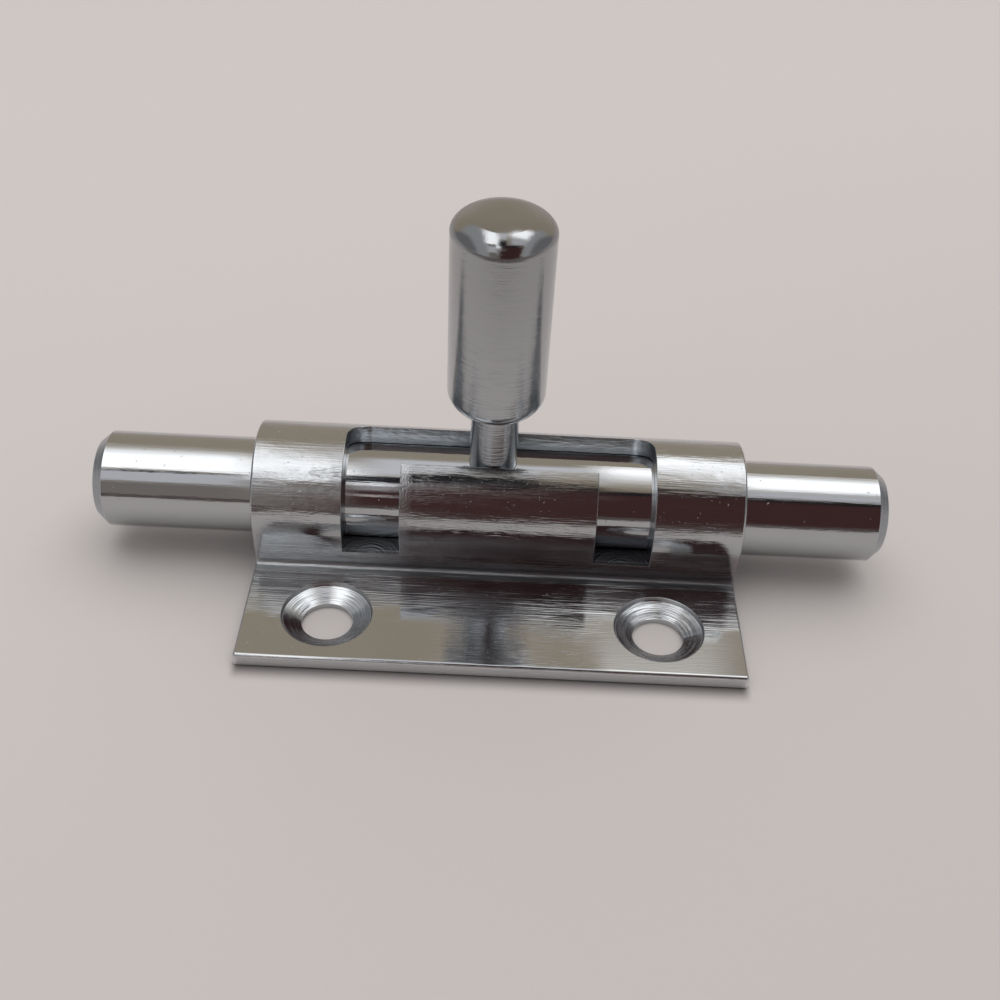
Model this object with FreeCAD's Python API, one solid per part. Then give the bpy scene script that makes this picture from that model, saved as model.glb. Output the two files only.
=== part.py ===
import FreeCAD, Part

import math
import os

# A sliding bolt: a round bar in a flanged barrel, moved by a handle in a slot.
# Millimetres and degrees. X runs along the bar and Z is up from the surface it is screwed to.
# The origin is midway between the two screw holes, on the underside of the flange.
# The flange's free edge faces -Y and the barrel lies behind the screw holes.

# Bar
BAR_DIAMETER = 12.0
BAR_LENGTH = 98.2
BAR_CHAMFER_LENGTH = 1.4  # along the bar
BAR_CHAMFER_DEPTH = 1.2  # in from its side
BAR_RIM_ROUNDING = 0.3  # where the chamfer meets the end face
BAR_RUNNING_CLEARANCE = 0.08  # radial, between the bar and the bore
BAR_REST_OFFSET = -0.9  # from the middle of the housing, where the bar rests

# Handle
NECK_DIAMETER = 5.8
NECK_ABOVE_BARREL = 7.5  # bare neck between the top of the barrel and the knob
NECK_SEAT_DEPTH = 1.0  # how far the neck's seat is sunk below the top of the bar
NECK_SEAT_CLEARANCE = 0.05
NECK_LEAN_GAP = 0.1  # between the leaning neck and the tongue that stops it
KNOB_DIAMETER = 11.6
KNOB_LENGTH = 25.15
KNOB_CROWN_HEIGHT = 2.1  # of the domed top, elliptical in section
KNOB_FLAT_DIAMETER = 1.6  # flat left in the middle of the dome
KNOB_BOTTOM_ROUNDING = 2.0
STUD_DIAMETER = 5.0
STUD_LENGTH = 8.0
STUD_TIP_CHAMFER = 0.6
STUD_CLEARANCE = 0.05
STUD_HOLE_SPARE_DEPTH = 0.8  # empty depth beyond the tip of the stud

# Barrel and flange, one extruded section
BODY_LENGTH = 60.0
BARREL_WALL = 2.17
METAL_UNDER_BORE = 2.6
FRONT_WALL_DRAFT = 8.0  # degrees by which the front wall draws in below the barrel
ROOT_ROUNDING = 0.5
FOOT_BEHIND_AXIS = 4.0
HEEL_ROUNDING = 0.5
FLANGE_EDGE_THICKNESS = 1.8
FLANGE_TOP_SLOPE = 1.5  # degrees, rising from the free edge to the root
FLANGE_EDGE_TO_HOLES = 7.35
FLANGE_EDGE_ROUNDING = 0.4
FLANGE_FOOT_ROUNDING = 0.3
HOLES_TO_BAR_AXIS = 15.95
END_EDGE_ROUNDING = 0.3

# Slot, notches and the tongue between them
TONGUE_LENGTH = 24.0
NOTCH_SIDE_CLEARANCE = 0.6  # each side of the neck when it is turned down into a notch
NOTCH_FLOOR_CLEARANCE = 1.0  # under the neck when it is turned down into a notch
SLOT_FRONT_CLEARANCE = 0.9
SLOT_BACK_CLEARANCE = 0.15
SLOT_CORNER_ROUNDING = 2.75
SLOT_EDGE_ROUNDING = 0.08  # where the cut breaks through the outer surface
HANDLE_STOP_GAP = 0.1  # left between the neck and the end of the slot

# Screw holes
SCREW_HOLE_PITCH = 40.0
SCREW_HOLE_DIAMETER = 6.2
COUNTERSINK_DIAMETER = 11.0
COUNTERSINK_LAND = 0.7  # straight part of the hole left below the countersink
COUNTERSINK_LIP = 0.35  # depth of the steep rim at the flange's top face
COUNTERSINK_LIP_SLOPE = 60.0  # degrees from the flange's top face

# Sizes that follow
bar_r = BAR_DIAMETER / 2
bore_r = bar_r + BAR_RUNNING_CLEARANCE
barrel_r = bore_r + BARREL_WALL
axis_y = HOLES_TO_BAR_AXIS
axis_z = METAL_UNDER_BORE + bore_r
neck_r = NECK_DIAMETER / 2
notch_width = NECK_DIAMETER + 2 * NOTCH_SIDE_CLEARANCE
slot_half = TONGUE_LENGTH / 2 + notch_width
slot_front = neck_r + SLOT_FRONT_CLEARANCE
slot_back = neck_r + SLOT_BACK_CLEARANCE
ledge_z = axis_z - neck_r - NOTCH_FLOOR_CLEARANCE
above_barrel = axis_z + 2 * barrel_r
knob_bottom = barrel_r + NECK_ABOVE_BARREL
knob_top = knob_bottom + KNOB_LENGTH
neck_seat = bar_r - NECK_SEAT_DEPTH
half_travel = slot_half - neck_r - HANDLE_STOP_GAP

# The neck leans forward until it all but touches the top edge of the tongue.
tongue_edge_angle = math.degrees(math.asin(slot_front / barrel_r))
neck_half_angle = math.degrees(math.asin((neck_r + NECK_LEAN_GAP) / barrel_r))
handle_lean = tongue_edge_angle - neck_half_angle

X_AXIS = FreeCAD.Vector(1, 0, 0)
Z_AXIS = FreeCAD.Vector(0, 0, 1)


def line(start, end):
    return Part.LineSegment(start, end).toShape()


def arc(start, middle, end):
    return Part.Arc(start, middle, end).toShape()


def dome(rim, top, centre):
    """A quarter of an ellipse, from its end at the rim to its end at the top."""
    ellipse = Part.Ellipse(rim, top, centre)
    return Part.ArcOfEllipse(ellipse, 0, math.pi / 2).toShape()


def on_circle(centre, radius, degrees, place):
    """A point of a circle, by its angle. place(a, b) puts the plane's coordinates in space."""
    angle = math.radians(degrees)
    return place(centre[0] + radius * math.cos(angle), centre[1] + radius * math.sin(angle))


def round_corner(before, corner, after, radius):
    """The start, middle and end of the arc that rounds the corner of two straight lines."""
    back = (before - corner).normalize()
    ahead = (after - corner).normalize()
    half_angle = back.getAngle(ahead) / 2
    reach = radius / math.tan(half_angle)
    inward = (back + ahead).normalize()
    to_middle = radius / math.sin(half_angle) - radius
    return corner + back * reach, corner + inward * to_middle, corner + ahead * reach


def flange_top(y):
    """Height of the flange's top face, which rises a little towards the root."""
    rise = math.tan(math.radians(FLANGE_TOP_SLOPE))
    return FLANGE_EDGE_THICKNESS + (y + FLANGE_EDGE_TO_HOLES) * rise


def section_outline():
    """The housing's outer section, seen along the bar, at the housing's left end."""

    def at(y, z):
        return FreeCAD.Vector(-BODY_LENGTH / 2, y, z)

    front = -FLANGE_EDGE_TO_HOLES
    wall_top_angle = 180 + FRONT_WALL_DRAFT
    wall_top = on_circle((axis_y, axis_z), barrel_r, wall_top_angle, at)
    draft = math.tan(math.radians(FRONT_WALL_DRAFT))
    rise = math.tan(math.radians(FLANGE_TOP_SLOPE))
    wall_height = (wall_top.z - flange_top(wall_top.y)) / (1 + draft * rise)
    root = at(wall_top.y + wall_height * draft, wall_top.z - wall_height)

    heel = at(axis_y + FOOT_BEHIND_AXIS, 0)
    heel_distance = math.hypot(FOOT_BEHIND_AXIS, axis_z)
    heel_angle = math.degrees(math.atan2(-axis_z, FOOT_BEHIND_AXIS))
    back_angle = heel_angle + math.degrees(math.acos(barrel_r / heel_distance))
    back_wall = on_circle((axis_y, axis_z), barrel_r, back_angle, at)
    crown = on_circle((axis_y, axis_z), barrel_r, (back_angle + wall_top_angle) / 2, at)

    front_foot = at(front, 0)
    front_top = at(front, flange_top(front))
    foot_turn = round_corner(heel, front_foot, front_top, FLANGE_FOOT_ROUNDING)
    front_turn = round_corner(front_foot, front_top, root, FLANGE_EDGE_ROUNDING)
    root_turn = round_corner(front_top, root, wall_top, ROOT_ROUNDING)
    heel_turn = round_corner(back_wall, heel, front_foot, HEEL_ROUNDING)

    return Part.Wire([
        arc(*foot_turn),
        line(foot_turn[2], front_turn[0]),
        arc(*front_turn),
        line(front_turn[2], root_turn[0]),
        arc(*root_turn),
        line(root_turn[2], wall_top),
        arc(wall_top, crown, back_wall),
        line(back_wall, heel_turn[0]),
        arc(*heel_turn),
        line(heel_turn[2], foot_turn[0]),
    ])


def slot_cutter():
    """Slot and notches as one upright prism: straight sides, flat floor, rounded back corners."""

    def at(x, y):
        return FreeCAD.Vector(x, axis_y + y, ledge_z)

    in_front = -2 * barrel_r
    tongue_half = TONGUE_LENGTH / 2
    turn = SLOT_CORNER_ROUNDING
    left_turn = (-slot_half + turn, slot_back - turn)
    right_turn = (slot_half - turn, slot_back - turn)
    outline = Part.Wire([
        line(at(-slot_half, in_front), at(-slot_half, slot_back - turn)),
        arc(
            at(-slot_half, slot_back - turn),
            on_circle(left_turn, turn, 135, at),
            at(-slot_half + turn, slot_back),
        ),
        line(at(-slot_half + turn, slot_back), at(slot_half - turn, slot_back)),
        arc(
            at(slot_half - turn, slot_back),
            on_circle(right_turn, turn, 45, at),
            at(slot_half, slot_back - turn),
        ),
        line(at(slot_half, slot_back - turn), at(slot_half, in_front)),
        line(at(slot_half, in_front), at(tongue_half, in_front)),
        line(at(tongue_half, in_front), at(tongue_half, -slot_front)),
        line(at(tongue_half, -slot_front), at(-tongue_half, -slot_front)),
        line(at(-tongue_half, -slot_front), at(-tongue_half, in_front)),
        line(at(-tongue_half, in_front), at(-slot_half, in_front)),
    ])
    return Part.Face(outline).extrude(Z_AXIS * (above_barrel - ledge_z))


def screw_hole(x):
    """A through hole with a countersink in the top of the flange."""
    hole_r = SCREW_HOLE_DIAMETER / 2
    sink_r = COUNTERSINK_DIAMETER / 2
    top = flange_top(0)
    lip_z = top - COUNTERSINK_LIP
    spread = 1 / math.tan(math.radians(COUNTERSINK_LIP_SLOPE))
    lip_r = sink_r - COUNTERSINK_LIP * spread
    drill = Part.makeCylinder(hole_r, 3 * top, FreeCAD.Vector(x, 0, -top))
    cone_base = FreeCAD.Vector(x, 0, COUNTERSINK_LAND)
    cone = Part.makeCone(hole_r, lip_r, lip_z - COUNTERSINK_LAND, cone_base)
    lip = Part.makeCone(lip_r, lip_r + top * spread, top, FreeCAD.Vector(x, 0, lip_z))
    return drill.fuse([cone, lip])


def end_edges(solid):
    """The edges round both end faces of a solid that runs along X."""
    low, high = solid.BoundBox.XMin, solid.BoundBox.XMax
    near = 1e-6
    return [
        edge
        for edge in solid.Edges
        if edge.BoundBox.XLength < near
        and min(abs(edge.BoundBox.XMin - low), abs(edge.BoundBox.XMin - high)) < near
    ]


def shared_edges(solid, skin, cutter):
    """The edges that a cutter left where it broke through an outer skin."""
    surfaces = (Part.Shell(skin.Faces), Part.Shell(cutter.Faces))
    near = 1e-5

    def on_both(edge):
        span = edge.LastParameter - edge.FirstParameter
        points = [edge.valueAt(edge.FirstParameter + span * share) for share in (0.1, 0.5, 0.9)]
        return all(
            surface.distToShape(Part.Vertex(point))[0] < near
            for surface in surfaces
            for point in points
        )

    return [edge for edge in solid.Edges if on_both(edge)]


def make_housing():
    section = Part.Face(section_outline()).extrude(X_AXIS * BODY_LENGTH)
    bore_start = FreeCAD.Vector(-BODY_LENGTH, axis_y, axis_z)
    body = section.cut(Part.makeCylinder(bore_r, 2 * BODY_LENGTH, bore_start, X_AXIS))
    body = body.makeFillet(END_EDGE_ROUNDING, end_edges(body))
    cutter = slot_cutter()
    body = body.cut(cutter)
    body = body.makeFillet(SLOT_EDGE_ROUNDING, shared_edges(body, section, cutter))
    for side in (-1, 1):
        body = body.cut(screw_hole(side * SCREW_HOLE_PITCH / 2))
    return body


def make_bar():
    """The bar, with its middle on the origin and the cross hole for the handle straight up."""

    def at(x, z):
        return FreeCAD.Vector(x, 0, z)

    end = BAR_LENGTH / 2
    side = end - BAR_CHAMFER_LENGTH
    rim_r = bar_r - BAR_CHAMFER_DEPTH
    left_half = [at(-end, 0), at(-end, rim_r), at(-side, bar_r)]
    right_half = [at(side, bar_r), at(end, rim_r), at(end, 0)]
    outline = Part.makePolygon([*left_half, *right_half, left_half[0]])
    bar = Part.Face(outline).revolve(FreeCAD.Vector(0, 0, 0), X_AXIS, 360)
    bar = bar.makeFillet(BAR_RIM_ROUNDING, end_edges(bar))
    seat = FreeCAD.Vector(0, 0, neck_seat)
    bar = bar.cut(Part.makeCylinder(neck_r + NECK_SEAT_CLEARANCE, bar_r, seat))
    hole_depth = STUD_LENGTH + STUD_HOLE_SPARE_DEPTH
    hole_floor = FreeCAD.Vector(0, 0, neck_seat - hole_depth)
    hole_r = STUD_DIAMETER / 2 + STUD_CLEARANCE
    return bar.cut(Part.makeCylinder(hole_r, hole_depth, hole_floor))


def make_handle():
    """The handle as one turned piece, standing on the bar's axis."""

    def at(radius, height):
        return FreeCAD.Vector(radius, 0, height)

    stud_r = STUD_DIAMETER / 2
    stud_tip = neck_seat - STUD_LENGTH
    knob_r = KNOB_DIAMETER / 2
    low_turn = (knob_r - KNOB_BOTTOM_ROUNDING, knob_bottom + KNOB_BOTTOM_ROUNDING)
    flat_r = KNOB_FLAT_DIAMETER / 2
    crown_foot = knob_top - KNOB_CROWN_HEIGHT
    outline = Part.Wire([
        line(at(0, stud_tip), at(stud_r - STUD_TIP_CHAMFER, stud_tip)),
        line(at(stud_r - STUD_TIP_CHAMFER, stud_tip), at(stud_r, stud_tip + STUD_TIP_CHAMFER)),
        line(at(stud_r, stud_tip + STUD_TIP_CHAMFER), at(stud_r, neck_seat)),
        line(at(stud_r, neck_seat), at(neck_r, neck_seat)),
        line(at(neck_r, neck_seat), at(neck_r, knob_bottom)),
        line(at(neck_r, knob_bottom), at(low_turn[0], knob_bottom)),
        arc(
            at(low_turn[0], knob_bottom),
            on_circle(low_turn, KNOB_BOTTOM_ROUNDING, -45, at),
            at(knob_r, low_turn[1]),
        ),
        line(at(knob_r, low_turn[1]), at(knob_r, crown_foot)),
        dome(at(knob_r, crown_foot), at(flat_r, knob_top), at(flat_r, crown_foot)),
        line(at(flat_r, knob_top), at(0, knob_top)),
        line(at(0, knob_top), at(0, stud_tip)),
    ])
    return Part.Face(outline).revolve(FreeCAD.Vector(0, 0, 0), Z_AXIS, 360)


def seat_in_bore(shape):
    """Turn a piece about the bar's axis by the handle's lean, and put it where it rests."""
    shape.rotate(FreeCAD.Vector(0, 0, 0), X_AXIS, handle_lean)
    shape.translate(FreeCAD.Vector(BAR_REST_OFFSET, axis_y, axis_z))
    return shape


pieces = {
    "housing": make_housing(),
    "bolt_bar": seat_in_bore(make_bar()),
    "handle": seat_in_bore(make_handle()),
}

os.makedirs("parts", exist_ok=True)
for name, shape in pieces.items():
    shape.exportStep(f"parts/{name}.step")
    box = shape.BoundBox
    print(name, "solids", len(shape.Solids), "valid", shape.isValid(), "volume", round(shape.Volume, 1))
    print("  from", [round(v, 3) for v in (box.XMin, box.YMin, box.ZMin)])
    print("  to  ", [round(v, 3) for v in (box.XMax, box.YMax, box.ZMax)])

print("handle lean", round(handle_lean, 3))
print("slide from rest", round(-half_travel - BAR_REST_OFFSET, 3), round(half_travel - BAR_REST_OFFSET, 3))
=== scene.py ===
import math
from collections import namedtuple
from types import SimpleNamespace

import bpy
from mathutils import Matrix, Vector


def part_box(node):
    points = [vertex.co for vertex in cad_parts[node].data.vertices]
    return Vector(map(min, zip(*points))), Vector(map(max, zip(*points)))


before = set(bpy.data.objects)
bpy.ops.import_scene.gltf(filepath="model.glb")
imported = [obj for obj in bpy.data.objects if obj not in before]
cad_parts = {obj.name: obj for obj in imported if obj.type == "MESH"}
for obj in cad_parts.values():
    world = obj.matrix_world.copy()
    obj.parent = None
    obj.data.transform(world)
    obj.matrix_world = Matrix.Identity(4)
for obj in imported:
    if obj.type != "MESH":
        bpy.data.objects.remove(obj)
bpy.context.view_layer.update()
MM = 0.001

# Places on the object, in metres of its own frame
BAR_LOW, BAR_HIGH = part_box("bolt_bar")
AXIS_Y = (BAR_LOW.y + BAR_HIGH.y) / 2
BAR_RADIUS = (BAR_HIGH.y - BAR_LOW.y) / 2
AXIS_Z = BAR_LOW.z + BAR_RADIUS
HOUSING_LOW, HOUSING_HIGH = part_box("housing")
BARREL_RADIUS = HOUSING_HIGH.z - AXIS_Z
HALF_BODY = HOUSING_HIGH.x
HANDLE_X = sum(corner.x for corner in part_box("handle")) / 2
HANDLE_LEAN = math.radians(6.1)
HALF_PITCH = 20 * MM
SINK_RADIUS = 5.5 * MM
FLANGE_TOP = 1.99 * MM  # at the screw holes
FLANGE_SLOPE = math.radians(1.5)
SLOT_HALF = 19 * MM
TONGUE_HALF = 12 * MM
LEDGE_Z = 4.78 * MM

# Heights along the handle, from the bar's axis, and its sizes
KNOB_FOOT = 15.75 * MM
KNOB_HEAD = 40.9 * MM
KNOB_CROWN = 2.1 * MM
CROWN_FOOT = KNOB_HEAD - KNOB_CROWN
POLISH_FOOT = KNOB_HEAD - 0.5 * KNOB_CROWN
KNOB_RADIUS = 5.8 * MM

# Bounds in millimetres between which a finish fades in or out. A third number is how soft a
# band's two edges are.
CHAMFER_DEPTH = (-0.12, -0.03)  # from the bar's side
CUT_DEPTH = (-0.14, -0.06)  # from the barrel's outer face
CUT_Z = (3.0, 3.2)  # the cuts through the barrel lie above it
WALL_Z = (14.4, 15.0)  # the slot's back wall lies above it
LEDGE_BAND = (-0.1, 0.1, 0.02)  # from the ledge's own height
SINK_RIM = (0, 0.1)  # from the countersink's radius
SINK_DEPTH = (-0.08, -0.02)  # from the flange's top
LIP_DEPTH = (-0.4, -0.32)
FLANGE_Y = (7.4, 7.8)  # the flange lies in front of it
FRONT_FACE_Y = (-7.3, -7.2)
# Where the painted light on the flange's front face fades out upwards
FACE_FOOT_Z = (0.2, 2.0)
ROOT_Y = (7.1, 8.8, 0.2)  # the rounded corner between flange and barrel
ROOT_Z = (2.8, 3.2)
# The painted shade in the root corner fades out towards the left between these
BRIGHT_ROOT_X = (-26, -8)
TOWARD_ROOT_Y = (-4, 3)
WORN_MIDDLE_X = (-7, 12, 3)
DISHED_X = (2, 14)
SCOURED_Y = (0.5, 4.5)
SCOURED_X = (9, 13)
TONGUE_FOOT = (0, 0.2)  # from the ledges' height
BUFFED_X = (0.4, 2.0)  # from the tongue's left end
LOW_DOWN_Z = (4, 9)
LOW_TONGUE_Z = (7.5, 9.5)
# Where the painted shade low on the barrel's front lies
LOW_FRONT_Z = (6.4, 8.2)
LOW_FRONT_X = (-16, -9)
FRONT_OF_AXIS = (-0.2, 0.2)
LEFT_TO_RIGHT = (-1, 1)
POLISH_EDGE = (-0.12, 0.08)  # from the foot of the dome's polish
NECK_EDGE = (-0.3, 0.1)  # from the knob's foot
CROWN_EDGE = (0, 0.3)  # from the crown's foot
ROLLED_ALONG = (33, 35)
ROLLED_ACROSS = (-4, 3)
# Bounds of the painted contact shadow on the floor
CONTACT_START = (-0.6, -0.3)  # out from the flange's free edge
CONTACT_REACH = (-0.4, 2.6)
# Where the floor's painted shade comes in, towards the camera's near right
FLOOR_NEAR = (-160, 160)

# Marks per metre that the cutters left
SINK_RINGS = 6800
LEDGE_ARCS = 2600
KNOB_RINGS = 5600
DOME_CIRCLES = 2400

# Amounts
FACING = (0.8, 0.95)  # share of a face's normal along an axis
WORN = (0.65, 1.05)
ROOT_WEAR = 0.45
LEFT_SINK_STRENGTH = 0.55
POLISH_SLANT = -0.11
ROLLED_REACH = 3.3 * MM  # in from the knob's side
CONTACT_SHADE = 0.8

# Roughness of each finish, or the lowest and the highest of it
BAR_ROUGHNESS = (0.04, 0.1)
CHAMFER_ROUGHNESS = 0.24
BARREL_ROUGHNESS = (0.07, 0.15)
LOW_TONGUE_ROUGHNESS = 0.2
BUFFED_ROUGHNESS = 0.24
FLANGE_ROUGHNESS = 0.08
FRONT_FACE_ROUGHNESS = 0.34
BRUSHED_ROUGHNESS = 0.14
SCOURED_ROUGHNESS = 0.2
ROOT_ROUGHNESS = 0.36
SINK_ROUGHNESS = 0.12
LIP_ROUGHNESS = 0.4
CUT_ROUGHNESS = 0.28
LEDGE_ROUGHNESS = 0.42
KNOB_ROUGHNESS = (0.14, 0.2)
NECK_ROUGHNESS = 0.16
DOME_ROUGHNESS = 0.11
DOME_SIDE_EXTRA = 0.2
FLOOR_ROUGHNESS = 0.7

# Colours are linear
CHROME = (0.5, 0.515, 0.53, 1)
CUT_METAL = (0.36, 0.385, 0.41, 1)
WALL_METAL = (0.58, 0.61, 0.64, 1)
# The ledges' colour darkened by painted shade under the bar, more on the right
LEDGE_LEFT_PAINTED_SHADE = (0.26, 0.28, 0.3, 1)
LEDGE_RIGHT_PAINTED_SHADE = (0.12, 0.125, 0.14, 1)
# Painted shade low on the barrel's front, under the tongue
LOW_FRONT_PAINTED_SHADE = (0.3, 0.275, 0.28, 1)
# Painted light on the flange's front face, strongest at its foot
FACE_FOOT_PAINTED_LIGHT = (0.9, 0.91, 0.93, 1)
# Painted contact shadow on the floor in front of the flange
CONTACT_SHADOW_COLOUR = (0.04, 0.035, 0.035, 1)
# Painted shade towards the knob's top
KNOB_TOP_PAINTED_SHADE = (0.4, 0.41, 0.42, 1)
# Painted shade in the corner between the flange and the barrel
ROOT_PAINTED_SHADE = (0.24, 0.25, 0.265, 1)
FLOOR = (0.61, 0.565, 0.55, 1)
# Painted shade on the floor towards the camera's near right
FLOOR_NEAR_SHADE = 0.86
BACKGROUND = (0.6, 0.56, 0.545, 1)
ROOM = (0.5, 0.5, 0.5, 1)
# Painted shade on the floor towards the camera, on a dim glowing sheet that only the metal sees
SHADE_SHEET_DARK = (0.1, 0.075, 0.07, 1)
SHADE_SHEET_LIGHT = (0.15, 0.12, 0.115, 1)

# Floor, light tent, sheet of painted shade and lamp, in metres unless a comment says otherwise
FLOOR_REACH = 4.0
TENT_RADIUS = 3.0
TENT_HALF_LENGTH = 60.0
TENT_STEPS = 96
BOARD_EDGE = (-68, -50)  # in millimetres: it fades in towards the camera
BOARD_NEAR = -48 * MM
BOARD_FAR = -3.0
BOARD_HALF_WIDTH = 4
BOARD_HEIGHT = 0.6 * MM
LAMP_STRENGTH = 1.66
LAMP_SPREAD = math.radians(75)
LAMP_COLOUR = (1.0, 0.995, 0.985)
LAMP_TURN = (math.radians(-14), math.radians(4), 0)

# Camera, as solved from the outlines in the picture
CAMERA_PLACE = Vector((-0.98, -109.72, 107.07)) * MM
CAMERA_YAW = math.radians(0.541)
CAMERA_PITCH = math.radians(-38.24)
CAMERA_ROLL = math.radians(3.075)
LENS = 45.28
SENSOR = 36.0

# Paints of the light tent's panels
TENT_BASE = (0.43, 0.37, 0.29, 1)
HORIZON = (0.46, 0.41, 0.37, 1)
WHITE_PANEL = (2.1, 2.1, 2.12, 1)
NOTCH_WHITE = (2.4, 2.4, 2.42, 1)
TONGUE_WHITE = (0.86, 0.86, 0.89, 1)
GREY_PANEL = (0.72, 0.72, 0.75, 1)
WARM_GREY = (0.43, 0.41, 0.4, 1)
DARK_WALL = (0.26, 0.23, 0.215, 1)
MAROON_WALL = (0.075, 0.034, 0.034, 1)
MAROON_HAZE = (0.16, 0.125, 0.12, 1)
BLACK_EDGE = (0.02, 0.02, 0.022, 1)
BLACK_LINE = (0.1, 0.1, 0.11, 1)
STRIP_WHITE = (1.6, 1.6, 1.62, 1)
STRIP_GREY = (0.6, 0.57, 0.57, 1)
STRIP_FOOT = (0.6, 0.52, 0.51, 1)
SIDE_WALL = (0.24, 0.235, 0.24, 1)
SIDE_GREY = (0.45, 0.45, 0.46, 1)

# Sides of the tent in degrees towards +X, each from where to where and how soft. Most are named
# after the part of the object that reflects them to the camera.
ALL_ROUND = (-90, 90, 1)
BARREL_LEFT = (-90, -11.3, 1.2)
BARREL_LEFT_NEAR = (-26, -11.3, 1.2)
NOTCH_LEFT = (-11.3, -6, 1.2)
TONGUE = (-6, 5, 1.2)
TONGUE_WIDE = (-8, 5, 1.2)
NOTCH_RIGHT = (5, 11.3, 1.2)
BARREL_RIGHT = (11.3, 90, 1.2)
TONGUE_AND_RIGHT = (-7.3, 34, 1.2)
RIGHT_NEAR = (5, 26, 1.2)
NOTCH_STRIP = (-6.5, -4.6, 0.4)
SIDE_GREY_LEFT = (-60, -28, 5)
SIDE_GREY_RIGHT = (36, 60, 5)
FAR_LEFT = (-95, -52, 5)
FAR_RIGHT = (52, 95, 5)

# Panels that the metal reflects, the later ones over the earlier. Angles are in degrees round the
# X axis, from the horizon behind the object, over the top, to the horizon on the camera's side.
# A panel runs from its first angle to its second, and each of those edges has its own softness.
Panel = namedtuple("Panel", "paint angles softness sides")
PANELS = [
    Panel(HORIZON, (-5, 12), (4, 8), ALL_ROUND),
    Panel(WHITE_PANEL, (70, 117), (18, 4), BARREL_LEFT),
    Panel(WHITE_PANEL, (88, 131), (30, 7), NOTCH_LEFT),
    Panel(NOTCH_WHITE, (54, 82), (11, 30), NOTCH_RIGHT),
    Panel(WHITE_PANEL, (60, 97), (10, 10), BARREL_RIGHT),
    Panel(TONGUE_WHITE, (60, 106), (6, 8), TONGUE),
    Panel(GREY_PANEL, (100, 118), (8, 2), BARREL_RIGHT),
    Panel(GREY_PANEL, (122, 149), (2, 5), BARREL_LEFT),
    Panel(WARM_GREY, (141, 158), (4, 5), NOTCH_LEFT),
    Panel(DARK_WALL, (149, 190), (5, 2), BARREL_LEFT_NEAR),
    Panel(DARK_WALL, (158, 190), (5, 2), NOTCH_LEFT),
    Panel(DARK_WALL, (134, 142), (5, 3), NOTCH_LEFT),
    Panel(MAROON_WALL, (118, 190), (8, 2), TONGUE_AND_RIGHT),
    Panel(BLACK_EDGE, (109, 125), (3, 3), TONGUE_WIDE),
    Panel(BLACK_EDGE, (119, 126), (2, 3), RIGHT_NEAR),
    Panel(BLACK_LINE, (121, 124), (0.8, 0.8), BARREL_LEFT_NEAR),
    Panel(MAROON_HAZE, (131, 140), (3, 3), TONGUE),
    Panel(STRIP_WHITE, (124, 131), (2, 2), NOTCH_STRIP),
    Panel(STRIP_GREY, (131, 143), (1, 4), NOTCH_STRIP),
    Panel(STRIP_FOOT, (153, 158), (1, 1), NOTCH_STRIP),
    Panel(SIDE_GREY, (40, 190), (8, 2), SIDE_GREY_LEFT),
    Panel(SIDE_GREY, (40, 190), (8, 2), SIDE_GREY_RIGHT),
    Panel(SIDE_WALL, (-20, 200), (1, 1), FAR_LEFT),
    Panel(SIDE_WALL, (-20, 200), (1, 1), FAR_RIGHT),
]


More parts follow.
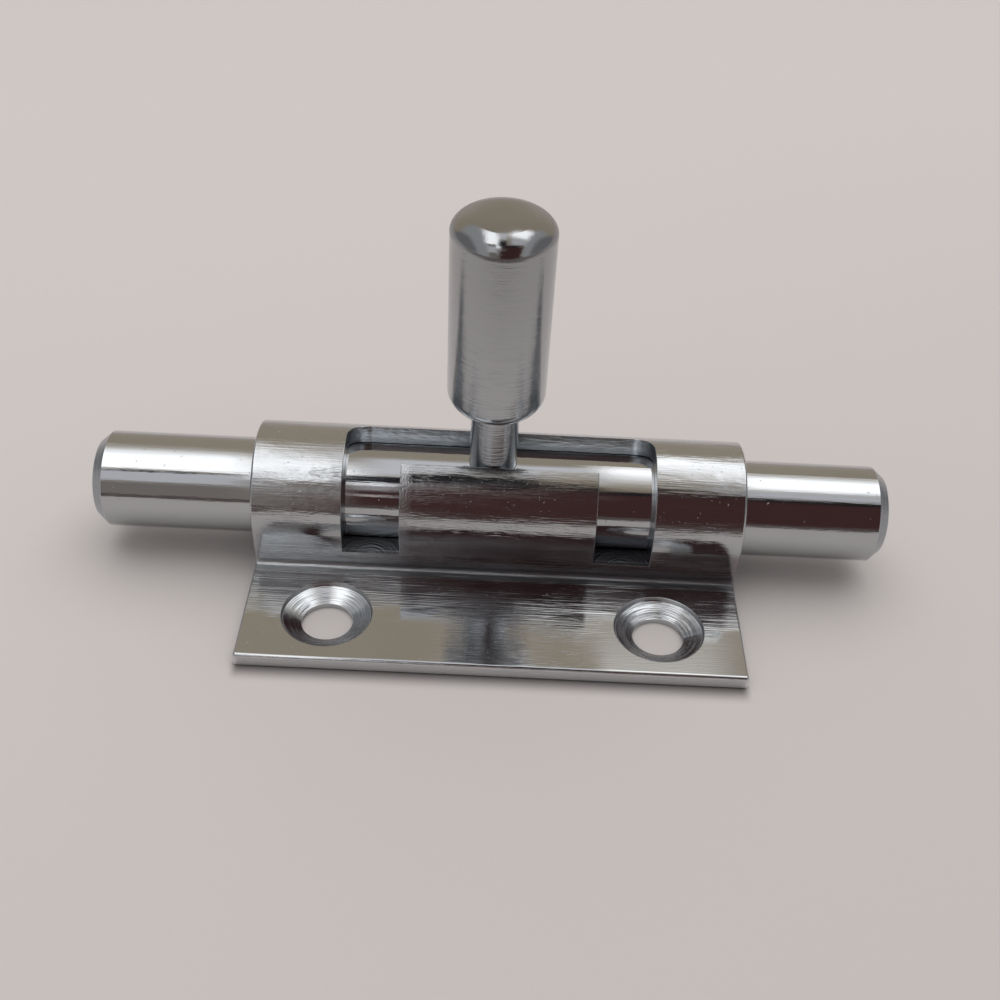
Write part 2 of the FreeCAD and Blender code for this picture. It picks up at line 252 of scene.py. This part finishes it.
class Graph:
    """Writes one node tree. A value is a number, a tuple or another node's socket."""

    def __init__(self, tree):
        self.tree = tree
        tree.nodes.clear()

    def add(self, kind, sockets=None, **settings):
        node = self.tree.nodes.new("ShaderNode" + kind)
        for name, value in settings.items():
            setattr(node, name, value)
        for key, value in (sockets or {}).items():
            self.feed(node.inputs[key], value)
        return node

    def feed(self, socket, value):
        if isinstance(value, bpy.types.NodeSocket):
            self.tree.links.new(value, socket)
        else:
            socket.default_value = value

    def math(self, operation, *values):
        return self.add("Math", dict(enumerate(values)), operation=operation).outputs[0]

    def minus(self, a, b):
        return self.math("SUBTRACT", a, b)

    def opposite(self, mask):
        return self.minus(1.0, mask)

    def times(self, *values):
        product = values[0]
        for value in values[1:]:
            product = self.math("MULTIPLY", product, value)
        return product

    def plus(self, *values):
        total = values[0]
        for value in values[1:]:
            total = self.math("ADD", total, value)
        return total

    def distance(self, a, b):
        return self.math("SQRT", self.plus(self.times(a, a), self.times(b, b)))

    def step(self, value, low, high, start=0.0, end=1.0):
        """Runs smoothly from start to end as value goes from low to high."""
        sockets = {
            "Value": value,
            "From Min": low,
            "From Max": high,
            "To Min": start,
            "To Max": end,
        }
        return self.add("MapRange", sockets, interpolation_type="SMOOTHSTEP").outputs[0]

    def rise(self, value, low, high, start=0.0, end=1.0):
        """The same between two places in millimetres."""
        return self.step(value, low * MM, high * MM, start, end)

    def fall(self, value, low, high):
        """1 below low and 0 above high, both in millimetres."""
        return self.rise(value, low, high, 1.0, 0.0)

    def within(self, value, low, high, soft):
        """1 between low and high, 0 outside."""
        rise = self.step(value, low - soft, low + soft)
        fall = self.step(value, high - soft, high + soft, 1.0, 0.0)
        return self.times(rise, fall)

    def band(self, value, low, high, soft):
        """The same with all three in millimetres."""
        return self.within(value, low * MM, high * MM, soft * MM)

    def mix(self, factor, a, b):
        return self.add("Mix", {0: factor, 2: a, 3: b}).outputs[0]

    def mix_colour(self, factor, a, b):
        return self.add("Mix", {0: factor, 6: a, 7: b}, data_type="RGBA").outputs[2]

    def place(self):
        """The point's place in the object's own frame, as a vector and as x, y and z."""
        vector = self.add("TexCoord").outputs["Object"]
        x, y, z = self.add("SeparateXYZ", {0: vector}).outputs
        return SimpleNamespace(vector=vector, x=x, y=y, z=z)

    def join(self, x, y, z):
        return self.add("CombineXYZ", {0: x, 1: y, 2: z}).outputs[0]

    def scaled(self, vector, x, y, z):
        return self.add("VectorMath", {0: vector, 1: (x, y, z)}, operation="MULTIPLY").outputs[0]

    def noise(self, vector, detail):
        sockets = {"Vector": vector, "Scale": 1.0, "Detail": detail}
        return self.add("TexNoise", sockets).outputs["Fac"]

    def clouds(self, vector, x, y, z, detail=3.0):
        """Noise with x, y and z blots per metre along the three axes."""
        return self.noise(self.scaled(vector, x, y, z), detail)

    def ripples(self, counted, per_metre, tilt, detail=2.0):
        """Height in metres of ripples whose slopes are about tilt degrees.

        The vector counts the ripples, of which there are per_metre.
        """
        height = math.tan(math.radians(tilt)) / per_metre
        return self.times(self.noise(counted, detail), height)

    def relief(self, vector, per_metre, tilt, x=1.0, y=1.0, z=1.0, detail=2.0):
        """Ripples all over, stretched along the axes whose share of per_metre is small."""
        counted = self.scaled(vector, x * per_metre, y * per_metre, z * per_metre)
        return self.ripples(counted, per_metre, tilt, detail)

    def ramp(self, value, stop, tilt):
        """Height of a plane that rises with value, by tilt degrees, up to where value is stop."""
        return self.times(self.math("MINIMUM", value, stop), math.tan(math.radians(tilt)))

    def pits(self, vector, per_metre, share):
        """Height of a few tiny pits in the plating. A greater share leaves fewer of them."""
        spots = self.clouds(vector, per_metre, per_metre, per_metre, detail=0.0)
        return self.times(self.step(spots, share, share + 0.06), -0.03 * MM)

    def tinted(self, vector, colour, per_metre, spread):
        """The colour, a little lighter and darker in soft clouds."""
        cloud = self.clouds(vector, per_metre, per_metre, per_metre)
        return self.mix_colour(cloud, shade(colour, 1 - spread), shade(colour, 1 + spread))

    def finish_metal(self, colour, roughness, height):
        sockets = {
            "Base Color": colour,
            "Metallic": 1.0,
            "Roughness": roughness,
            "Normal": self.bump(height),
        }
        shader = self.add("BsdfPrincipled", sockets)
        self.add("OutputMaterial", {"Surface": shader.outputs[0]})

    def bump(self, height):
        return self.add("Bump", {"Strength": 1.0, "Distance": 1.0, "Height": height}).outputs[0]


def shade(colour, share):
    return tuple(min(1, part * share) for part in colour[:3]) + (1,)


def new_material(name):
    material = bpy.data.materials.new(name)
    material.use_nodes = True
    return material, Graph(material.node_tree)


def bar_metal():
    """Bright chrome on a ground round bar: fine lines along it and a satin chamfer."""
    material, graph = new_material("bar_chrome")
    at = graph.place()
    radius = graph.distance(graph.minus(at.y, AXIS_Y), graph.minus(at.z, AXIS_Z))
    on_side = graph.rise(graph.minus(radius, BAR_RADIUS), *CHAMFER_DEPTH)

    ground_lines = graph.relief(at.vector, per_metre=5200, tilt=1.5, x=0.025)
    waves = graph.relief(at.vector, per_metre=420, tilt=0.3, x=0.25)
    grain = graph.relief(at.vector, per_metre=6000, tilt=1.5, x=0.12)
    turned = graph.relief(at.vector, per_metre=3600, tilt=6, y=0.06, z=0.06)
    height = graph.plus(
        graph.times(graph.plus(ground_lines, grain), on_side),
        waves,
        graph.times(turned, graph.opposite(on_side)),
        graph.pits(at.vector, per_metre=2600, share=0.83),
    )

    streaks = graph.clouds(at.vector, 60, 2400, 2400)
    ground = graph.step(streaks, 0.35, 0.75, *BAR_ROUGHNESS)
    roughness = graph.mix(on_side, CHAMFER_ROUGHNESS, ground)
    plating = graph.tinted(at.vector, CHROME, per_metre=160, spread=0.05)
    graph.finish_metal(graph.mix_colour(on_side, CUT_METAL, plating), roughness, height)
    return material


def housing_regions(graph, at):
    """Masks, 1 inside and 0 outside, of the regions of the housing that differ in finish or carry
    painted light or shade.
    """
    facing = graph.add("SeparateXYZ", {0: graph.add("TexCoord").outputs["Normal"]}).outputs
    behind_axis = graph.minus(at.y, AXIS_Y)
    radius = graph.distance(behind_axis, graph.minus(at.z, AXIS_Z))
    on = SimpleNamespace()

    # Machined: the countersinks with their lips, the slot and notches, and the sawn ends
    slope = graph.times(at.y, math.tan(FLANGE_SLOPE))
    from_top = graph.minus(graph.minus(at.z, slope), FLANGE_TOP)
    on.sink = graph.times(
        graph.fall(graph.minus(at.from_hole, SINK_RADIUS), *SINK_RIM),
        graph.fall(from_top, *SINK_DEPTH),
    )
    on.lip = graph.times(on.sink, graph.rise(from_top, *LIP_DEPTH))
    on.inside = graph.times(
        graph.fall(graph.minus(radius, BARREL_RADIUS), *CUT_DEPTH), graph.rise(at.z, *CUT_Z)
    )
    on.wall = graph.times(on.inside, graph.rise(at.z, *WALL_Z))
    above_ledge = graph.minus(at.z, LEDGE_Z)
    on.ledge = graph.times(
        graph.band(above_ledge, *LEDGE_BAND), graph.step(facing["Z"], *FACING)
    )
    on_end = graph.step(graph.math("ABSOLUTE", facing["X"]), *FACING)
    on.cut = graph.math("MAXIMUM", graph.math("MAXIMUM", on.inside, on.ledge), on_end)
    on.plain = graph.times(graph.opposite(on.cut), graph.opposite(on.sink))

    # Flange: its top, worn in patches, its front face with painted light at its foot, and the
    # corner at its root with painted shade
    on.flange = graph.fall(at.y, *FLANGE_Y)
    patches = graph.clouds(at.vector, 90, 420, 420)
    wear = graph.plus(patches, graph.times(graph.rise(at.y, *TOWARD_ROOT_Y), ROOT_WEAR))
    on.brushed = graph.times(on.flange, graph.step(wear, *WORN))
    in_middle = graph.band(at.x, *WORN_MIDDLE_X)
    on.worn_middle = graph.times(graph.plus(graph.times(in_middle, 0.8), 0.2), on.flange)
    scoured = graph.times(graph.rise(at.y, *SCOURED_Y), graph.rise(at.x, *SCOURED_X))
    on.scoured = graph.times(scoured, on.flange)
    on.front_face = graph.fall(at.y, *FRONT_FACE_Y)
    # Painted light on the front face, strongest at its foot
    face_foot = graph.rise(at.z, *FACE_FOOT_Z, start=1.0, end=0.25)
    on.face_foot = graph.times(on.front_face, face_foot)
    on.root = graph.times(graph.band(at.y, *ROOT_Y), graph.fall(at.z, *ROOT_Z))

    # Barrel: its front low down, which carries painted shade, and the tongue, buffed at its left
    # end
    in_front = graph.fall(behind_axis, *FRONT_OF_AXIS)
    on.tongue = graph.times(
        graph.within(at.x, -TONGUE_HALF, TONGUE_HALF, 0.05 * MM),
        graph.rise(above_ledge, *TONGUE_FOOT),
        in_front,
    )
    from_tongue_end = graph.plus(at.x, TONGUE_HALF)
    on.buffed = graph.times(graph.fall(from_tongue_end, *BUFFED_X), on.tongue)
    low_tongue = graph.rise(at.z, *LOW_TONGUE_Z, start=0.75, end=0.0)
    on.low_tongue = graph.times(low_tongue, on.tongue)
    # Painted shade low on the barrel's front, under the tongue
    on.low_front = graph.times(
        graph.fall(at.z, *LOW_FRONT_Z),
        graph.rise(at.x, *LOW_FRONT_X),
        graph.times(on.plain, in_front, graph.opposite(on.flange)),
    )
    return on


def cutter_relief(graph, at, on):
    """Rings that the countersink's cutter left, fainter on the left, and arcs on the ledges."""
    round_hole = graph.times(at.from_hole, SINK_RINGS)
    counted = graph.join(round_hole, graph.times(at.from_middle_x, 160), 0.0)
    rings = graph.ripples(counted, SINK_RINGS, tilt=32, detail=1.0)
    strength = graph.rise(at.x, *LEFT_TO_RIGHT, start=LEFT_SINK_STRENGTH, end=1.0)

    from_cutter = graph.distance(
        graph.minus(at.from_middle_x, (SLOT_HALF + TONGUE_HALF) / 2),
        graph.minus(at.y, AXIS_Y - BARREL_RADIUS),
    )
    counted = graph.join(graph.times(from_cutter, LEDGE_ARCS), graph.times(at.x, 260), 0.0)
    arcs = graph.ripples(counted, LEDGE_ARCS, tilt=26, detail=3.0)
    return graph.plus(graph.times(rings, on.sink, strength), graph.times(arcs, on.ledge))


def housing_relief(graph, at, on):
    """Height of all the marks on the housing."""
    streaks = graph.clouds(at.vector, 70, 600, 600)
    low_down = graph.rise(at.z, *LOW_DOWN_Z, start=0.25, end=0.0)
    drawn_here = graph.plus(graph.step(streaks, 0.4, 0.62, 0.2, 1.0), low_down)
    drawn = graph.relief(at.vector, per_metre=4800, tilt=8, x=0.03, detail=3)
    peel = graph.relief(at.vector, per_metre=620, tilt=1.3, x=0.45)
    grain = graph.relief(at.vector, per_metre=6000, tilt=4, x=0.12)
    barrel_marks = graph.plus(peel, graph.times(drawn, drawn_here), grain)

    brush_marks = graph.relief(at.vector, per_metre=5600, tilt=15, x=0.012)
    fine_brush = graph.relief(at.vector, per_metre=6000, tilt=6, x=0.05)
    root_marks = graph.relief(at.vector, per_metre=5200, tilt=20, x=0.05)
    tooth = graph.relief(at.vector, per_metre=4600, tilt=7, x=0.5)
    sparkle = graph.relief(at.vector, per_metre=5200, tilt=8)
    skin = graph.plus(
        graph.times(barrel_marks, graph.opposite(on.flange)),
        graph.times(brush_marks, on.brushed),
        graph.times(fine_brush, on.worn_middle),
        graph.times(root_marks, on.root),
        graph.times(tooth, on.front_face),
        graph.times(sparkle, on.buffed),
        graph.pits(at.vector, per_metre=4000, share=0.82),
    )

    wall_marks = graph.relief(at.vector, per_metre=2400, tilt=9, x=0.3)
    flatter = graph.rise(at.x, *DISHED_X, start=1.0, end=0.1)
    dished = graph.times(graph.ramp(at.y, stop=7 * MM, tilt=2), flatter)
    return graph.plus(
        graph.times(skin, on.plain),
        cutter_relief(graph, at, on),
        graph.times(wall_marks, on.inside),
        dished,
    )


def housing_roughness(graph, at, on):
    smooth = graph.clouds(at.vector, 80, 900, 900)
    roughness = graph.step(smooth, 0.3, 0.75, *BARREL_ROUGHNESS)
    finishes = [
        (on.low_tongue, LOW_TONGUE_ROUGHNESS),
        (on.buffed, BUFFED_ROUGHNESS),
        (on.flange, FLANGE_ROUGHNESS),
        (on.front_face, FRONT_FACE_ROUGHNESS),
        (on.brushed, BRUSHED_ROUGHNESS),
        (on.scoured, SCOURED_ROUGHNESS),
        (on.root, ROOT_ROUGHNESS),
        (on.sink, SINK_ROUGHNESS),
        (on.lip, LIP_ROUGHNESS),
        (on.cut, CUT_ROUGHNESS),
        (on.ledge, LEDGE_ROUGHNESS),
    ]
    for mask, its_roughness in finishes:
        roughness = graph.mix(mask, roughness, its_roughness)
    return roughness


def housing_colour(graph, at, on):
    # Painted shade on the ledges under the bar, darker on the right ledge
    on_right = graph.rise(at.x, *LEFT_TO_RIGHT)
    ledge_shade = graph.mix_colour(on_right, LEDGE_LEFT_PAINTED_SHADE, LEDGE_RIGHT_PAINTED_SHADE)
    cut_tone = graph.mix_colour(on.wall, CUT_METAL, WALL_METAL)
    cut_tone = graph.mix_colour(on.ledge, cut_tone, ledge_shade)
    # Painted shade in the root corner, fading out towards the left end
    root_shade = graph.mix_colour(graph.fall(at.x, *BRIGHT_ROOT_X), ROOT_PAINTED_SHADE, CHROME)
    colour = graph.tinted(at.vector, CHROME, per_metre=130, spread=0.06)
    tones = [
        # Over the plating: the cut faces' colour, painted shade low on the front, painted light at
        # the front face's foot and painted shade at the root
        (on.cut, cut_tone),
        (on.low_front, LOW_FRONT_PAINTED_SHADE),
        (on.face_foot, FACE_FOOT_PAINTED_LIGHT),
        (on.root, root_shade),
    ]
    for mask, tone in tones:
        colour = graph.mix_colour(mask, colour, tone)
    return colour


def housing_metal():
    """Bright chrome over an extruded section, brushed, drilled and milled in places, with painted
    shade on the ledges, at the root and low on the front, and painted light at the flange's foot.
    """
    material, graph = new_material("housing_chrome")
    at = graph.place()
    at.from_middle_x = graph.math("ABSOLUTE", at.x)
    at.from_hole = graph.distance(graph.minus(at.from_middle_x, HALF_PITCH), at.y)
    on = housing_regions(graph, at)
    graph.finish_metal(
        housing_colour(graph, at, on),
        housing_roughness(graph, at, on),
        housing_relief(graph, at, on),
    )
    return material


def handle_metal():
    """Satin chrome on a turned handle: fine rings, with a polished domed top, and painted shade
    that darkens it towards the top.
    """
    material, graph = new_material("handle_chrome")
    at = graph.place()
    up_y = -math.sin(HANDLE_LEAN)
    up_z = math.cos(HANDLE_LEAN)
    from_y = graph.minus(at.y, AXIS_Y)
    from_z = graph.minus(at.z, AXIS_Z)
    along = graph.plus(graph.times(from_y, up_y), graph.times(from_z, up_z))
    across = graph.plus(graph.times(from_y, up_z), graph.times(from_z, -up_y))
    from_middle = graph.distance(graph.minus(at.x, HANDLE_X), across)

    # The polish on the dome ends on a slanted line
    polish = graph.plus(along, graph.times(across, POLISH_SLANT))
    on_dome = graph.rise(graph.minus(polish, POLISH_FOOT), *POLISH_EDGE)
    off_dome = graph.opposite(on_dome)
    on_neck = graph.fall(graph.minus(along, KNOB_FOOT), *NECK_EDGE)

    turning = graph.join(
        graph.times(at.x, 140), graph.times(across, 140), graph.times(along, KNOB_RINGS)
    )
    strength = graph.mix(on_dome, graph.mix(on_neck, 0.4, 1.0), 0.02)
    rings = graph.times(graph.ripples(turning, KNOB_RINGS, tilt=14), strength)
    fine = graph.relief(at.vector, per_metre=5200, tilt=2.2)
    uneven = graph.relief(at.vector, per_metre=380, tilt=0.8)
    uneven = graph.times(uneven, graph.mix(on_dome, 1.0, 0.25))
    counted = graph.join(graph.times(from_middle, DOME_CIRCLES), 0.0, 0.0)
    circles = graph.times(graph.ripples(counted, DOME_CIRCLES, tilt=1.6), on_dome)
    raised = graph.ramp(along, stop=KNOB_FOOT - 0.4 * MM, tilt=-3)
    from_rim = graph.minus(KNOB_RADIUS, from_middle)
    rolled = graph.times(
        graph.ramp(from_rim, stop=KNOB_RADIUS - ROLLED_REACH, tilt=15),
        graph.rise(along, *ROLLED_ALONG),
        graph.fall(across, *ROLLED_ACROSS),
    )
    height = graph.plus(rings, fine, uneven, raised, circles, rolled)

    satin = graph.step(graph.noise(turning, 2.0), 0.3, 0.7, *KNOB_ROUGHNESS)
    roughness = graph.mix(on_neck, satin, NECK_ROUGHNESS)
    roughness = graph.mix(on_dome, roughness, DOME_ROUGHNESS)
    on_crown = graph.rise(graph.minus(along, CROWN_FOOT), *CROWN_EDGE)
    dome_side = graph.times(on_crown, off_dome)
    roughness = graph.plus(roughness, graph.times(dome_side, DOME_SIDE_EXTRA))

    plating = graph.tinted(at.vector, CHROME, per_metre=220, spread=0.05)
    # Painted shade: the knob grows darker from its foot towards its crown
    shade_toward_top = graph.step(along, KNOB_FOOT, CROWN_FOOT)
    colour = graph.mix_colour(shade_toward_top, plating, KNOB_TOP_PAINTED_SHADE)
    marks = graph.join(
        graph.times(at.x, 420), graph.times(across, 420), graph.times(along, 3000)
    )
    marks = graph.step(graph.noise(marks, 3.0), 0.5, 0.75, 0.0, 0.5)
    colour = graph.mix_colour(graph.times(marks, off_dome), colour, CUT_METAL)
    graph.finish_metal(colour, roughness, height)
    return material


def dress(node, material):
    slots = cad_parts[node].data.materials
    slots.clear()
    slots.append(material)


def floor_material():
    """Pale painted board with a faint tooth and faint blots, with painted shade towards the
    camera's near right and a painted contact shadow where the flange's front stands on it.
    """
    material, graph = new_material("pale_floor")
    at = graph.place()
    # Painted shade: the floor darker towards the camera's near right, mixed with faint random
    # blots
    toward_near_right = graph.minus(graph.times(at.x, 0.6), at.y)
    painted_near_shade = graph.rise(toward_near_right, *FLOOR_NEAR)
    blots = graph.clouds(at.vector, 9, 9, 9)
    blots_and_near_shade = graph.plus(graph.times(blots, 0.15), painted_near_shade)
    colour = graph.mix_colour(blots_and_near_shade, FLOOR, shade(FLOOR, FLOOR_NEAR_SHADE))

    # Painted contact shadow in a strip in front of the flange's front edge
    from_edge = graph.minus(HOUSING_LOW.y, at.y)
    painted_contact_shadow = graph.times(
        graph.rise(from_edge, *CONTACT_START),
        graph.rise(from_edge, *CONTACT_REACH, start=CONTACT_SHADE, end=0.0),
        graph.within(at.x, -HALF_BODY, HALF_BODY, 0.6 * MM),
    )
    sockets = {
        "Base Color": graph.mix_colour(painted_contact_shadow, colour, CONTACT_SHADOW_COLOUR),
        "Roughness": FLOOR_ROUGHNESS,
        "Normal": graph.bump(graph.relief(at.vector, per_metre=1500, tilt=1.5)),
        "Specular IOR Level": 0.2,
    }
    shader = graph.add("BsdfPrincipled", sockets)
    graph.add("OutputMaterial", {"Surface": shader.outputs[0]})
    return material


def new_surface(name, vertices, faces, material):
    mesh = bpy.data.meshes.new(name)
    mesh.from_pydata(vertices, [], faces)
    mesh.materials.append(material)
    surface = bpy.data.objects.new(name, mesh)
    bpy.context.scene.collection.objects.link(surface)
    return surface


def make_floor():
    reach = FLOOR_REACH
    corners = [(-reach, -reach, 0), (reach, -reach, 0), (reach, reach, 0), (-reach, reach, 0)]
    floor = new_surface("floor", corners, [(0, 1, 2, 3)], floor_material())


def stage_panel(name, vertices, faces, material):
    """Adds a surface that only the metal sees: it gives the floor no light and no shadow."""
    panel = new_surface(name, vertices, faces, material)
    panel.visible_camera = False
    panel.visible_diffuse = False
    panel.visible_shadow = False


def tent_material():
    material, graph = new_material("tent_panels")
    at = graph.place()
    angle = graph.math("DEGREES", graph.math("ARCTAN2", at.z, at.y))
    out = graph.distance(at.y, at.z)
    sideways = graph.math("DEGREES", graph.math("ARCTAN2", at.x, out))
    colour = TENT_BASE
    for panel in PANELS:
        (low, high), (soft_low, soft_high) = panel.angles, panel.softness
        cover = graph.times(
            graph.step(angle, low - soft_low, low + soft_low),
            graph.step(angle, high - soft_high, high + soft_high, 1.0, 0.0),
            graph.within(sideways, *panel.sides),
        )
        colour = graph.mix_colour(cover, colour, panel.paint)
    light = graph.add("Emission", {"Color": colour, "Strength": 1.0})
    graph.add("OutputMaterial", {"Surface": light.outputs[0]})
    return material


def make_tent():
    """Half a tube over the object, open at its ends."""
    vertices = []
    for step in range(TENT_STEPS + 1):
        angle = math.pi * step / TENT_STEPS
        y, z = TENT_RADIUS * math.cos(angle), TENT_RADIUS * math.sin(angle)
        vertices += [(-TENT_HALF_LENGTH, y, z), (TENT_HALF_LENGTH, y, z)]
    faces = [(2 * i, 2 * i + 1, 2 * i + 3, 2 * i + 2) for i in range(TENT_STEPS)]
    stage_panel("tent", vertices, faces, tent_material())


def shade_sheet_material():
    material, graph = new_material("painted_floor_shade")
    at = graph.place()
    # Painted shade: a dim glowing sheet that stands in for shade on the floor
    colour = graph.mix_colour(graph.clouds(at.vector, 30, 30, 30), SHADE_SHEET_DARK, SHADE_SHEET_LIGHT)
    light = graph.add("Emission", {"Color": colour, "Strength": 1.0})
    clear = graph.add("BsdfTransparent")
    cover = graph.fall(at.y, *BOARD_EDGE)
    shader = graph.add("MixShader", {0: cover, 1: clear.outputs[0], 2: light.outputs[0]})
    graph.add("OutputMaterial", {"Surface": shader.outputs[0]})
    return material


def make_shade_sheet():
    """A sheet of painted shade with a soft edge, on the floor towards the camera, for the metal to
    reflect.
    """
    vertices = [
        (-BOARD_HALF_WIDTH, BOARD_NEAR, BOARD_HEIGHT),
        (BOARD_HALF_WIDTH, BOARD_NEAR, BOARD_HEIGHT),
        (BOARD_HALF_WIDTH, BOARD_FAR, BOARD_HEIGHT),
        (-BOARD_HALF_WIDTH, BOARD_FAR, BOARD_HEIGHT),
    ]
    stage_panel("painted_floor_shade", vertices, [(0, 1, 2, 3)], shade_sheet_material())


def make_world():
    world = bpy.data.worlds.new("studio")
    bpy.context.scene.world = world
    world.use_nodes = True
    world.cycles.sampling_method = "NONE"
    graph = Graph(world.node_tree)
    path = graph.add("LightPath").outputs
    seen = graph.math(
        "MAXIMUM",
        path["Is Camera Ray"],
        graph.math("MAXIMUM", path["Is Glossy Ray"], path["Is Transmission Ray"]),
    )
    colour = graph.mix_colour(seen, ROOM, BACKGROUND)
    light = graph.add("Background", {"Color": colour, "Strength": 1.0})
    graph.add("OutputWorld", {"Surface": light.outputs[0]})


def make_lamp():
    """A broad soft lamp overhead, a little behind the object."""
    lamp = bpy.data.lights.new("overhead", "SUN")
    lamp.energy = LAMP_STRENGTH
    lamp.angle = LAMP_SPREAD
    lamp.color = LAMP_COLOUR
    overhead = bpy.data.objects.new("overhead", lamp)
    overhead.rotation_euler = LAMP_TURN
    overhead.visible_glossy = False
    bpy.context.scene.collection.objects.link(overhead)


def make_camera():
    camera = bpy.data.cameras.new("camera")
    camera.sensor_width = SENSOR
    camera.lens = LENS
    camera.clip_start = 0.01
    camera.clip_end = 20
    holder = bpy.data.objects.new("camera", camera)
    turn = (
        Matrix.Rotation(-CAMERA_YAW, 4, "Z")
        @ Matrix.Rotation(math.pi / 2 + CAMERA_PITCH, 4, "X")
        @ Matrix.Rotation(CAMERA_ROLL, 4, "Z")
    )
    holder.matrix_world = Matrix.Translation(CAMERA_PLACE) @ turn
    bpy.context.scene.collection.objects.link(holder)
    bpy.context.scene.camera = holder


dress("bolt_bar", bar_metal())
dress("housing", housing_metal())
dress("handle", handle_metal())
make_floor()
make_tent()
make_shade_sheet()
make_world()
make_lamp()
make_camera()
bpy.context.scene.view_settings.view_transform = "Standard"
